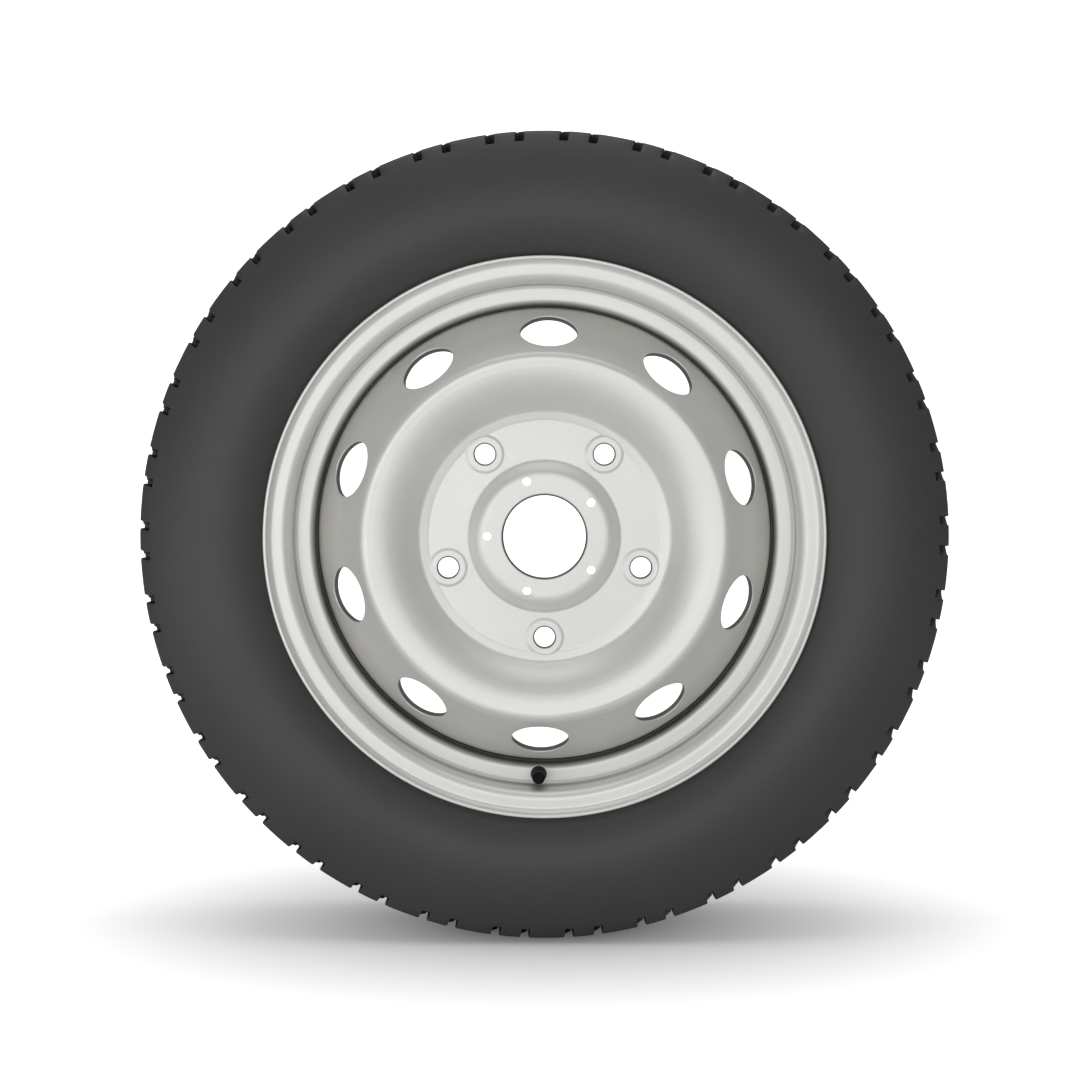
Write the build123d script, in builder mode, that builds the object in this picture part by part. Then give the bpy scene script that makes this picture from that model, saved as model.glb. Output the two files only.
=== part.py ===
from build123d import *
import os
from math import atan2, cos, radians, sin, sqrt, tan

# A pressed steel van wheel with its tyre and snap-in valve, in millimetres.
# The wheel turns about the Y axis, its centre plane is y = 0, and +Z is up.
# The side seen on the vehicle faces -Y, so "front" below means toward -Y.
# Profiles are drawn as (radius, y) and turned about the Y axis.

# Wheel sizes: 6.5 inches wide, 16 inches at the bead seats
rim_seat_diameter = 405.6
rim_width = 165.1
wheel_offset = 60.0  # the mounting face stands this far in front of the centre plane

# Rim, a hoop rolled from one strip
rim_sheet = 2.8
flange_height = 17.3
flange_reach = 12.0
flange_bend = 7.5
heel_bend = 5.0
lip_round = 1.0
seat_taper = 5.0  # degrees
seat_length = 18.5
hump_height = 0.9
hump_length = 3.0
hump_round = 4.0
ledge_radius = 201.3
wall_position = 54.5  # tyre side of the well's front wall, in front of the centre plane
ledge_bend = 5.0
well_diameter = 366.8
well_bend = 4.0
well_back = 6.0  # the flat of the well ends this far in front of the centre plane
ramp_radius = 199.0
ramp_end = 22.0
ramp_bend = 18.0

# Disc, pressed from one blank
disc_sheet = 5.0
bore_diameter = 65.1
bore_round = 1.8
boss_rise = 6.5
boss_edge = 51.5
boss_foot = 59.5
boss_bend = 13.0
boss_foot_bend = 1.2
seat_ring_edge = 92.0
seat_ring_bend = 12.0
hub_edge = 100.0
hub_edge_rise = 1.4
hub_edge_bend = 5.0
bowl_corner = 116.5
bowl_rise = 19.5
bowl_bend = 45.0
crown_edge = 143.4
crown_rise = 21.8
crown_bend = 8.0
cone_angle = 52.0  # degrees from the wheel's plane
disc_seam = 29.0  # degrees from +X, between two vents
skirt_bend = 9.0
skirt_back = 17.0  # the skirt ends this far in front of the centre plane
skirt_clearance = 0.05

# Holes in the disc
bolt_count = 5
bolt_circle = 160.0
bolt_hole = 16.3
bolt_chamfer = 0.7
bolt_pad = 31.0
bolt_pad_rise = 0.7
bolt_pad_draft = 72.0  # degrees
bolt_pad_root = 1.0  # how deep the pad starts in the sheet
boss_hole = 6.8
boss_hole_circle = 90.8
boss_hole_turn = 18.0  # degrees from each bolt hole
vent_count = 10
vent_width = 45.0
vent_length = 38.0
vent_end = 15.0  # radius of the oval's tight arcs
vent_radius = 162.0
vent_turn = -1.2  # degrees that the vents are turned against the bolt holes
vent_round = 1.0

# Welds between the skirt and the well
weld_count = 10
weld_leg = 4.6
weld_angle = 20.0  # degrees of arc
weld_gap = 0.03

# Tyre, nominally 195 mm wide with a 60 percent side
tyre_diameter = 640.4
tyre_width = 206.0
widest_radius = 260.0
crown_radius = 1050.0
tread_half = 86.0
shoulder_round = 6.0
cushion_radius = 225.5  # the sidewall leaves the rim flange here
cushion_half = 93.6
tread_thickness = 15.5
side_thickness = 7.6
inner_half = 84.0
inner_corner = 38.0
bead_toe = 65.0
apex_radius = 222.0
apex_half = 75.0
bead_clearance = 0.1

# Tread pattern
tread_depth = 8.0
groove_draft = 1.2
outer_groove = 43.0
outer_groove_width = 9.0
inner_groove = 14.5
inner_groove_width = 10.0
pitch_count = 34
pitch_split = 0.4  # where the second groove of a pair lies in the pitch
pitch_turn = -1.9  # degrees from +X to the first pair
slot_width = 7.3
slot_depth = 5.0  # where its floor would cross the tyre's middle
slot_fall = 4.0  # degrees that the floor falls toward the shoulder
slot_end = 95.0
slot_mid = 71.0
slot_lean = 2.8
slot_sweep = 8.0
notch_width = 3.0
notch_depth = 6.0
notch_end = 25.5
notch_sweep = 6.0

# Valve: heights run outward from the pad that it stands on
valve_radius = 190.0
valve_angle = -91.4  # degrees from +X
valve_hole = 11.3
valve_pad = 15.2
valve_pad_rise = 0.3
rubber_gap = 0.1
lip_diameter = 12.8
lip_height = 1.3
body_top_diameter = 10.2
body_height = 12.2
bulb_diameter = 17.6
bulb_rim = 2.0
bulb_end_diameter = 10.4
bulb_height = 10.6

stem_height = 22.4
stem_diameter = 7.7
stem_neck = 5.8
stem_shoulder = 9.0
stem_foot_diameter = 7.8
stem_foot_from = -9.0
stem_foot_to = -7.4
stem_chamber = 5.3
stem_bore = 3.9
stem_taper_from = 14.8
stem_taper_to = 16.0
stem_chamfer = 0.4
moulded_gap = 0.03

core_gap = 0.06
core_plug_from = 16.6
core_plug_to = 21.0
core_slot = 1.8
core_slot_depth = 2.2
barrel_diameter = 3.4
barrel_from = 6.5
barrel_floor = 1.0
barrel_chamber = 2.5
barrel_top = 14.4
pin_diameter = 1.0
pin_bore = 1.4
pin_from = 3.8
pin_to = 21.9
pin_point = 0.15
collar_diameter = 2.3
collar_from = 13.4
collar_height = 0.5
cup_diameter = 3.0
cup_from = 4.2
spring_wire = 0.26
spring_diameter = 1.8
spring_turns = 6
spring_gap = 0.1

cap_from = 12.9
cap_top = 25.1
cap_diameter = 9.8
cap_roof = 1.5
cap_thread = 7.9
cap_skirt = 8.7
cap_skirt_to = 15.6
cap_flutes = 18
cap_flute = 1.0
cap_flute_share = 0.86
cap_round = 0.8
washer_hole = 2.8
washer_gap = 0.05

os.makedirs("parts", exist_ok=True)

# Rim section along its tyre side, from the front lip to the back lip
seat_radius = rim_seat_diameter / 2
rim_half = rim_width / 2
flange_radius = seat_radius + flange_height
lip_half = rim_half + flange_reach
seat_end = rim_half - seat_length
seat_end_radius = seat_radius - seat_length * tan(radians(seat_taper))
hump_half = seat_end - hump_length
hump_radius = seat_end_radius + hump_height
well_radius = well_diameter / 2

rim_points = [
    (flange_radius, -lip_half),
    (flange_radius, -rim_half),
    (seat_radius, -rim_half),
    (seat_end_radius, -seat_end),
    (hump_radius, -hump_half),
    (ledge_radius, -wall_position),
    (well_radius, -wall_position),
    (well_radius, -well_back),
    (ramp_radius, ramp_end),
    (seat_end_radius - hump_height, hump_half - hump_length),
    (hump_radius, hump_half),
    (seat_end_radius, seat_end),
    (seat_radius, rim_half),
    (flange_radius, rim_half),
    (flange_radius, lip_half),
]
hump_bends = [hump_round, hump_round]
front_bends = [flange_bend, heel_bend, *hump_bends, ledge_bend, well_bend]
back_bends = [ramp_bend, ramp_bend, hump_round, *hump_bends, heel_bend, flange_bend]
rim_bends = front_bends + back_bends

# Everything on the axle's side of the rim's outer face, grown by the bead clearance
with BuildSketch(Plane.XY) as rim_outline:
    with BuildLine():
        outer_face = FilletPolyline(*rim_points, radius=rim_bends)
        Polyline(
            outer_face @ 0,
            (well_radius / 2, -lip_half),
            (well_radius / 2, lip_half),
            outer_face @ 1,
        )
    make_face()
    offset(amount=bead_clearance)

# Where the valve stands on the rim
valve_face = wall_position + rim_sheet + valve_pad_rise
valve_x = valve_radius * cos(radians(valve_angle))
valve_z = valve_radius * sin(radians(valve_angle))
valve_origin = (valve_x, -valve_face, valve_z)
valve_axis = Axis(valve_origin, (0, -1, 0))
valve_plane = Plane(valve_origin, x_dir=(1, 0, 0), z_dir=(0, 0, -1))
valve_foot = Plane(valve_origin, x_dir=(1, 0, 0), z_dir=(0, -1, 0))

with BuildPart() as rim:
    with BuildSketch(Plane.XY):
        with BuildLine():
            FilletPolyline(*rim_points, radius=rim_bends)
            offset(amount=rim_sheet, side=Side.LEFT)
        make_face()
        lip_corners = vertices().filter_by(lambda v: abs(abs(v.Y) - lip_half) < 0.01)
        fillet(lip_corners, radius=lip_round)
    revolve(axis=Axis.Y)
    # The strip is pressed flat round the valve hole
    with BuildSketch(valve_foot):
        Circle(valve_pad / 2)
    extrude(amount=-(rim_sheet + valve_pad_rise) * 0.9)
    with BuildSketch(valve_foot):
        Circle(valve_hole / 2)
    extrude(amount=rim_sheet * 3, both=True, mode=Mode.SUBTRACT)
rim.part.label = "rim"

# Disc section along its front face, from the centre bore to the end of the skirt
hub_front = wheel_offset + disc_sheet
skirt_radius = well_radius - rim_sheet - skirt_clearance
cone_foot = hub_front + crown_rise - (skirt_radius - crown_edge) * tan(radians(cone_angle))
disc_points = [
    (bore_diameter / 2, -hub_front - boss_rise),
    (boss_edge, -hub_front - boss_rise),
    (boss_foot, -hub_front),
    (seat_ring_edge, -hub_front),
    (hub_edge, -hub_front - hub_edge_rise),
    (bowl_corner, -hub_front - bowl_rise),
    (crown_edge, -hub_front - crown_rise),
    (skirt_radius, -cone_foot),
    (skirt_radius, -skirt_back),
]
hub_bends = [boss_bend, boss_foot_bend, seat_ring_bend, hub_edge_bend]
disc_bends = hub_bends + [bowl_bend, crown_bend, skirt_bend]

bolt_angles = [360 / bolt_count * k - 90 for k in range(bolt_count)]
boss_hole_angles = [a - boss_hole_turn for a in bolt_angles]
vent_angles = [360 / vent_count * k + 90 + vent_turn for k in range(vent_count)]
hub_plane = Plane((0, -hub_front, 0), x_dir=(1, 0, 0), z_dir=(0, -1, 0))
vent_depth = hub_front + crown_rise - (vent_radius - crown_edge) * tan(radians(cone_angle))

# A vent is an oval of two tight and two wide arcs, joined where they run together
vent_side = vent_width / 2
vent_half = vent_length / 2
vent_reach = vent_side - vent_end
vent_wide = (vent_reach**2 + vent_half**2 - vent_end**2) / (2 * (vent_half - vent_end))
vent_lean = atan2(vent_wide - vent_half, vent_reach)
vent_join_x = vent_reach + vent_end * cos(vent_lean)
vent_join_y = vent_end * sin(vent_lean)


def around(radius, angle):
    """A place on the hub plane at a radius and an angle from +X."""
    return (radius * cos(radians(angle)), radius * sin(radians(angle)))


def vent_plane(angle):
    """A plane lying on the disc's slope at one vent, its Z out of the sheet."""
    c, s = cos(radians(angle)), sin(radians(angle))
    slope, fall = sin(radians(cone_angle)), cos(radians(cone_angle))
    place = (vent_radius * c, -vent_depth, vent_radius * s)
    return Plane(place, x_dir=(-s, 0, c), z_dir=(slope * c, -fall, slope * s))


with BuildPart() as wheel_disc:
    with BuildSketch(Plane.XY.rotated((0, -disc_seam, 0))):
        with BuildLine():
            FilletPolyline(*disc_points, radius=disc_bends)
            offset(amount=disc_sheet, side=Side.LEFT)
        make_face()
        fillet(vertices().sort_by_distance((0, -hub_front * 2, 0))[0], radius=bore_round)
    revolve(axis=Axis.Y)
    # The vents are punched square to the slope and their edges are pressed round
    with BuildSketch(*[vent_plane(a) for a in vent_angles]):
        with BuildLine():
            ThreePointArc((-vent_join_x, vent_join_y), (0, vent_half), (vent_join_x, vent_join_y))
            ThreePointArc((vent_join_x, vent_join_y), (vent_side, 0), (vent_join_x, -vent_join_y))
            mirror(about=Plane.XZ)
            mirror(about=Plane.YZ)
        make_face()
    extrude(amount=disc_sheet * 2.5, both=True, mode=Mode.SUBTRACT)
    fillet(edges(Select.LAST).filter_by(GeomType.LINE, reverse=True), radius=vent_round)
    # Flat seats for the wheel bolts stand a little proud of the hub face
    with BuildSketch(hub_plane.offset(-bolt_pad_root)):
        with Locations(*[around(bolt_circle / 2, a) for a in bolt_angles]):
            Circle(bolt_pad / 2 + bolt_pad_root * tan(radians(bolt_pad_draft)))
    extrude(amount=bolt_pad_root + bolt_pad_rise, taper=bolt_pad_draft)
    with BuildSketch(hub_plane.offset(-disc_sheet)):
        with Locations(*[around(bolt_circle / 2, a) for a in bolt_angles]):
            Circle(bolt_hole / 2)
        with Locations(*[around(boss_hole_circle / 2, a) for a in boss_hole_angles]):
            Circle(boss_hole / 2)
    extrude(amount=disc_sheet * 4, both=True, mode=Mode.SUBTRACT)
    bolt_rims = edges().filter_by(GeomType.CIRCLE).filter_by(
        lambda e: abs(e.radius - bolt_hole / 2) < 0.01
    )
    chamfer(bolt_rims.group_by(Axis.Y)[0], length=bolt_chamfer)
wheel_disc.part.label = "wheel_disc"

# Fillet welds in the corner between the skirt's end and the well
well_inside = well_radius - rim_sheet - weld_gap
weld_start = -skirt_back + weld_gap
with BuildPart() as disc_welds:
    with BuildSketch(Plane.XY):
        with BuildLine():
            top = Line((well_inside, weld_start), (well_inside, weld_start + weld_leg))
            side = Line(top @ 0, (well_inside - weld_leg, weld_start))
            ThreePointArc(
                top @ 1,
                (well_inside - weld_leg * 0.38, weld_start + weld_leg * 0.38),
                side @ 1,
            )
        make_face()
    revolve(axis=Axis.Y, revolution_arc=weld_angle)
    weld_bead = disc_welds.part
    weld_turns = [360 / weld_count * k for k in range(1, weld_count)]
    for turn in weld_turns:
        add(weld_bead.rotate(Axis.Y, turn))
disc_welds.part.label = "disc_welds"

# Tyre section: the front half is drawn, mirrored and cut clear of the rim
tyre_radius = tyre_diameter / 2
tyre_half = tyre_width / 2


def crown(radius, half):
    """Height of the tread's gentle arch at a distance from the centre plane."""
    return radius - crown_radius + sqrt(crown_radius**2 - half**2)


inner_radius = tyre_radius - tread_thickness
inner_widest = (widest_radius, -tyre_half + side_thickness)
bead_root = seat_radius - rim_sheet
grooves = [
    (outer_groove, outer_groove_width),
    (inner_groove, inner_groove_width),
]

# Cross grooves come in pairs, each pair one pitch of the tread
pitch = 360 / pitch_count
pair_starts = [pitch_turn + pitch * k for k in range(pitch_count)]
front_pairs = pair_starts + [a + pitch * pitch_split for a in pair_starts]
back_pairs = [a + pitch / 2 for a in front_pairs]
front_notches = [a + pitch * pitch_split / 2 for a in pair_starts]
back_notches = [a + pitch / 2 for a in front_notches]
slot_path = [(-slot_lean, -slot_end), (0, -slot_mid), (-slot_sweep, -outer_groove)]
front_slot = ThreePointArc(*slot_path)
back_slot = ThreePointArc(*[(-x, -y) for x, y in slot_path])
notch_middle = (-slot_sweep - notch_sweep / 2, -(outer_groove + notch_end) / 2)
notch_path = [notch_middle, (-slot_sweep - notch_sweep, -notch_end)]


def tread_plane(angle, depth, fall=0.0):
    """A plane under the tread at an angle from +X, its Z outward, falling toward the front."""
    c, s = cos(radians(angle)), sin(radians(angle))
    lean, rise = sin(radians(fall)), cos(radians(fall))
    reach = tyre_radius - depth
    return Plane((reach * c, 0, reach * s), x_dir=(s, 0, -c), z_dir=(c * rise, -lean, s * rise))


with BuildPart() as tyre:
    with BuildSketch(Plane.XY) as tyre_section:
        with BuildLine():
            # Outside, from the crown to the rim flange
            corner = (crown(tyre_radius, tread_half), -tread_half)
            RadiusArc((tyre_radius, 0), corner, -crown_radius)
            TangentArc((widest_radius, -tyre_half), corner, tangent=(1, 0))
            cushion = (cushion_radius, -cushion_half)
            TangentArc((widest_radius, -tyre_half), cushion, tangent=(-1, 0))
            # Bead, drawn into the rim and trimmed below
            Polyline(
                cushion,
                (seat_radius + heel_bend, -rim_half - rim_sheet / 2),
                (bead_root, -rim_half - rim_sheet / 2),
                (bead_root, -bead_toe),
                (seat_end_radius + hump_height, -bead_toe),
                (apex_radius, -apex_half),
            )
            # Inside, back up to the crown
            TangentArc(inner_widest, (apex_radius, -apex_half), tangent=(-1, 0))
            inner_edge = (crown(inner_radius, inner_half), -inner_half)
            TangentArc(inner_widest, inner_edge, tangent=(1, 0))
            RadiusArc(inner_edge, (inner_radius, 0), crown_radius)
            Line((inner_radius, 0), (tyre_radius, 0))
        make_face()
        shoulder = vertices().sort_by_distance(corner)[0]
        fillet(shoulder, radius=shoulder_round)
        fillet(vertices().sort_by_distance(inner_edge)[0], radius=inner_corner)
        mirror(about=Plane.XZ)
        # Grooves that run round the tread, with sloping sides
        for place, width in grooves:
            floor = crown(tyre_radius, place) - tread_depth
            for side in (-1, 1):
                with BuildLine():
                    Polyline(
                        (floor, side * place - width / 2 + groove_draft),
                        (floor, side * place + width / 2 - groove_draft),
                        (floor + tread_depth * 1.5, side * place + width / 2 + groove_draft / 2),
                        (floor + tread_depth * 1.5, side * place - width / 2 - groove_draft / 2),
                        close=True,
                    )
                make_face(mode=Mode.SUBTRACT)
        # The rim's own outline, grown by the clearance, shapes the beads
        add(rim_outline.sketch, mode=Mode.SUBTRACT)
    revolve(axis=Axis.Y)
    # Curved grooves open each shoulder to the groove beside it
    with BuildSketch(*[tread_plane(a, slot_depth, slot_fall) for a in front_pairs]):
        SlotArc(front_slot, slot_width)
    with BuildSketch(*[tread_plane(a, slot_depth, -slot_fall) for a in back_pairs]):
        SlotArc(back_slot, slot_width)
    extrude(amount=tread_depth * 2, mode=Mode.SUBTRACT)
    # Short notches lead from the outer grooves into the ribs
    with BuildSketch(*[tread_plane(a, notch_depth) for a in front_notches]):
        SlotCenterPoint(*notch_path, height=notch_width)
    with BuildSketch(*[tread_plane(a, notch_depth) for a in back_notches]):
        SlotCenterPoint(*[(-x, -y) for x, y in notch_path], height=notch_width)
    extrude(amount=tread_depth * 2, mode=Mode.SUBTRACT)
tyre.part.label = "tyre"

# Snap-in valve body: rubber, gripping the rim from both sides of its hole
hole_depth = rim_sheet + valve_pad_rise
stem_radius = stem_diameter / 2
neck_radius = stem_neck / 2
with BuildPart() as valve_body:
    with BuildSketch(valve_plane):
        Polygon(
            (0, -hole_depth + rubber_gap),
            (bulb_diameter / 2, -hole_depth + rubber_gap),
            (bulb_diameter / 2, -hole_depth - bulb_rim),
            (bulb_end_diameter / 2, -bulb_height),
            (0, -bulb_height),
            align=None,
        )
    revolve(axis=valve_axis)
    # The bulb lies against the wall and the floor of the well
    with BuildSketch(Plane.XY):
        add(rim_outline.sketch)
    revolve(axis=Axis.Y, mode=Mode.SUBTRACT)
    with BuildSketch(valve_plane):
        with BuildLine():
            FilletPolyline(
                (0, -hole_depth * 1.5),
                (valve_hole / 2 - rubber_gap, -hole_depth * 1.5),
                (valve_hole / 2 - rubber_gap, rubber_gap),
                (lip_diameter / 2, rubber_gap),
                (lip_diameter / 2, lip_height),
                (valve_hole / 2, lip_height + hole_depth),
                (body_top_diameter / 2, body_height),
                (0, body_height),
                radius=[0, 0, 0.3, 0.4, 3.0, 0.8],
            )
            Line((0, body_height), (0, -hole_depth * 1.5))
        make_face()
    revolve(axis=valve_axis)
    # Room for the stem, which is moulded in
    with BuildSketch(valve_plane):
        Polygon(
            (0, -bulb_height - 1),
            (neck_radius + moulded_gap, -bulb_height - 1),
            (neck_radius + moulded_gap, stem_foot_from - moulded_gap),
            (stem_foot_diameter / 2 + moulded_gap, stem_foot_from - moulded_gap),
            (stem_foot_diameter / 2 + moulded_gap, stem_foot_to + moulded_gap),
            (neck_radius + moulded_gap, stem_foot_to + moulded_gap),
            (neck_radius + moulded_gap, stem_shoulder - moulded_gap),
            (stem_radius + moulded_gap, stem_shoulder - moulded_gap),
            (stem_radius + moulded_gap, body_height + 1),
            (0, body_height + 1),
            align=None,
        )
    revolve(axis=valve_axis, mode=Mode.SUBTRACT)
valve_body.part.label = "valve_body"

# Brass stem: a tube with a seat for the core and a plain stretch where its thread is cut
chamber_radius = stem_chamber / 2
stem_bore_radius = stem_bore / 2
with BuildPart() as valve_stem:
    with BuildSketch(valve_plane):
        Polygon(
            (stem_bore_radius, -bulb_height),
            (neck_radius, -bulb_height),
            (neck_radius, stem_foot_from),
            (stem_foot_diameter / 2, stem_foot_from),
            (stem_foot_diameter / 2, stem_foot_to),
            (neck_radius, stem_foot_to),
            (neck_radius, stem_shoulder),
            (stem_radius, stem_shoulder),
            (stem_radius, stem_height - stem_chamfer),
            (stem_radius - stem_chamfer, stem_height),
            (chamber_radius, stem_height),
            (chamber_radius, stem_taper_to),
            (stem_bore_radius, stem_taper_from),
            align=None,
        )
    revolve(axis=valve_axis)
valve_stem.part.label = "valve_stem"

# Core plug: screwed into the stem, with the spring's chamber in its barrel
barrel_radius = barrel_diameter / 2
plug_radius = chamber_radius - core_gap
with BuildPart() as valve_core_plug:
    with BuildSketch(valve_plane):
        Polygon(
            (pin_bore / 2, barrel_from),
            (barrel_radius, barrel_from),
            (barrel_radius, core_plug_from),
            (plug_radius, core_plug_from),
            (plug_radius, core_plug_to),
            (pin_bore / 2, core_plug_to),
            (pin_bore / 2, barrel_top),
            (barrel_chamber / 2, barrel_top),
            (barrel_chamber / 2, barrel_from + barrel_floor),
            (pin_bore / 2, barrel_from + barrel_floor),
            align=None,
        )
    revolve(axis=valve_axis)
    # A slot across the head leaves two ears for the core tool
    with BuildSketch(valve_foot.offset(core_plug_to)):
        Rectangle(stem_diameter, core_slot)
    extrude(amount=-core_slot_depth, mode=Mode.SUBTRACT)
valve_core_plug.part.label = "valve_core_plug"

# Soft ring between the plug and the taper in the stem
seal_low = stem_taper_from + (stem_taper_to - stem_taper_from) * 0.2
seal_low_radius = stem_bore_radius + (chamber_radius - stem_bore_radius) * 0.2
with BuildPart() as valve_core_seal:
    with BuildSketch(valve_plane):
        Polygon(
            (barrel_radius + core_gap, seal_low),
            (seal_low_radius - core_gap, seal_low),
            (plug_radius, stem_taper_to),
            (plug_radius, core_plug_from - core_gap),
            (barrel_radius + core_gap, core_plug_from - core_gap),
            align=None,
        )
    revolve(axis=valve_axis)
valve_core_seal.part.label = "valve_core_seal"

# Pin: pressing its end opens the core
with BuildPart() as valve_core_pin:
    with BuildSketch(valve_plane):
        Polygon(
            (0, pin_from),
            (pin_diameter / 2, pin_from),
            (pin_diameter / 2, collar_from),
            (collar_diameter / 2, collar_from),
            (collar_diameter / 2, collar_from + collar_height),
            (pin_diameter / 2, collar_from + collar_height),
            (pin_diameter / 2, pin_to - pin_point),
            (pin_diameter / 2 - pin_point, pin_to),
            (0, pin_to),
            align=None,
        )
    revolve(axis=valve_axis)
valve_core_pin.part.label = "valve_core_pin"

# Cup: its face shuts against the end of the barrel
with BuildPart() as valve_core_cup:
    with BuildSketch(valve_foot.offset(cup_from)):
        Circle(cup_diameter / 2)
        Circle(pin_diameter / 2 + moulded_gap, mode=Mode.SUBTRACT)
    extrude(amount=barrel_from - core_gap - cup_from)
valve_core_cup.part.label = "valve_core_cup"

# Spring: pushes the pin's collar outward
spring_low = barrel_from + barrel_floor + spring_gap + spring_wire / 2
spring_high = collar_from - spring_gap - spring_wire / 2
spring_rise = spring_high - spring_low
with BuildPart() as valve_core_spring:
    with BuildLine() as coil:
        Helix(
            pitch=spring_rise / spring_turns,
            height=spring_rise,
            radius=spring_diameter / 2,
            center=(valve_x, -valve_face - spring_low, valve_z),
            direction=(0, -1, 0),
        )
    with BuildSketch(Plane(coil.line @ 0, z_dir=coil.line % 0)):
        Circle(spring_wire / 2)
    sweep()
valve_core_spring.part.label = "valve_core_spring"

# Cap: fluted outside, with a plain lead-in below its thread
with BuildPart() as valve_cap:
    with BuildSketch(valve_plane):
        Polygon(
            (0, cap_top),
            (cap_diameter / 2, cap_top),
            (cap_diameter / 2, cap_from),
            (cap_skirt / 2, cap_from),
            (cap_skirt / 2, cap_skirt_to),
            (cap_thread / 2, cap_skirt_to),
            (cap_thread / 2, cap_top - cap_roof),
            (0, cap_top - cap_roof),
            align=None,
        )
        fillet(vertices().group_by(Axis.X)[-1].sort_by(Axis.Y)[-1], radius=cap_round)
    revolve(axis=valve_axis)
    with BuildSketch(valve_foot.offset(cap_from)):
        with PolarLocations(cap_diameter / 2 + cap_flute / 4, cap_flutes):
            Circle(cap_flute / 2)
    extrude(amount=(cap_top - cap_from) * cap_flute_share, mode=Mode.SUBTRACT)
valve_cap.part.label = "valve_cap"

# Washer: seals the cap on the end of the stem
with BuildPart() as valve_cap_seal:
    with BuildSketch(valve_foot.offset(stem_height + washer_gap)):
        Circle(cap_thread / 2 - washer_gap)
        Circle(washer_hole / 2, mode=Mode.SUBTRACT)
    extrude(amount=cap_top - cap_roof - stem_height - 2 * washer_gap)
valve_cap_seal.part.label = "valve_cap_seal"

export_step(rim.part, "parts/rim.step")
export_step(wheel_disc.part, "parts/wheel_disc.step")
export_step(disc_welds.part, "parts/disc_welds.step")
export_step(tyre.part, "parts/tyre.step")
export_step(valve_body.part, "parts/valve_body.step")
export_step(valve_stem.part, "parts/valve_stem.step")
export_step(valve_core_plug.part, "parts/valve_core_plug.step")
export_step(valve_core_seal.part, "parts/valve_core_seal.step")
export_step(valve_core_pin.part, "parts/valve_core_pin.step")
export_step(valve_core_cup.part, "parts/valve_core_cup.step")
export_step(valve_core_spring.part, "parts/valve_core_spring.step")
export_step(valve_cap.part, "parts/valve_cap.step")
export_step(valve_cap_seal.part, "parts/valve_cap_seal.step")
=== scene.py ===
# %% [markdown]
# # A steel van wheel with its tyre and valve
# The imported CAD model is the fixed frame of this scene. Everything here is in metres, the wheel turns about
# the Y axis, its painted face looks toward -Y, and +Z is up. First the model is loaded.

# %% Load the imported model
import bpy
from math import atan2, ceil, copysign, cos, pi, radians, sin, sqrt, tan, tau
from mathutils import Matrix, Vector


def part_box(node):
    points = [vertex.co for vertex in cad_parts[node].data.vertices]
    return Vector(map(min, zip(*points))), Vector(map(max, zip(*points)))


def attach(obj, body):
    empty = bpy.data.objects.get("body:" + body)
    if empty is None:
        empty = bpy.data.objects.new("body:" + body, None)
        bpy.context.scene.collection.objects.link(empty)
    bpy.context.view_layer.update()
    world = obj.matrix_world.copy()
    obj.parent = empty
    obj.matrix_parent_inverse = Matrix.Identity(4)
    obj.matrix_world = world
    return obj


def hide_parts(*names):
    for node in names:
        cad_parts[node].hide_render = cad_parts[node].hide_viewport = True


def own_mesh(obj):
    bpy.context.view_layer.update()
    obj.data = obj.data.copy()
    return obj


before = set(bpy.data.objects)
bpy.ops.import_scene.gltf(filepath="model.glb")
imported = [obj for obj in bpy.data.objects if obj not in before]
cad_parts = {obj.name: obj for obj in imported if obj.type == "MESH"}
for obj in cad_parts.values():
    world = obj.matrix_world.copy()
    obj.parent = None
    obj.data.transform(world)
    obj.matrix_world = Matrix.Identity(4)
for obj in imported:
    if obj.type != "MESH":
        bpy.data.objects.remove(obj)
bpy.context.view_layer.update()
scene = bpy.context.scene
scene.view_settings.view_transform = "Standard"
print("CAD nodes:", sorted(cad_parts))

# %% [markdown]
# ## Camera
# The photograph looks straight along the axle from a little above it. The rim's edge stays a true circle in
# it, and the far edges of the vents show how near the lens was. A long lens at this distance gives both. The
# lens follows from how much of the rim's front plane the picture spans.

# %% Camera
lip_front = -0.09455  # the front edge of the rim
view_distance = 2.3
view_height = 0.14
view_span = 0.8406  # width of the rim's front plane in the picture
aim = Vector((-0.0036, lip_front, -0.0012))

bpy.ops.object.camera_add(location=(aim.x, lip_front - view_distance, view_height))
camera = bpy.context.object
camera.rotation_euler = (aim - camera.location).to_track_quat("-Z", "Y").to_euler()
camera.data.lens = camera.data.sensor_width * view_distance / view_span
scene.camera = camera
print("lens", round(camera.data.lens, 1), "mm")

# %% [markdown]
# ## Floor and backdrop
# A paper sweep runs under the wheel and up behind it. It is one plane whose back edge is pulled up and whose
# corner is bent round. Its white is partly its own glow, which only the camera sees and which grows away from the
# wheel, so the paper keeps the wheel's soft shadow and fades to clean white. From behind the paper is clear, so that
# the back of the wheel can be looked at too.

# %% Paper sweep
floor_gap = 0.0002
floor_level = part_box("tyre")[0].z - floor_gap
sweep_size = 9.0
sweep_back = 2.2
sweep_height = 3.0
sweep_bend, bend_segments = 0.9, 24
edge_slack = 0.01

bpy.ops.object.select_all(action="DESELECT")
sweep_centre = (0, sweep_back - sweep_size / 2, floor_level)
bpy.ops.mesh.primitive_plane_add(size=sweep_size, location=sweep_centre)
sweep = bpy.context.object
sweep.name = "paper_sweep"
bpy.ops.object.transform_apply(location=True, rotation=True, scale=True)


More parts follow.
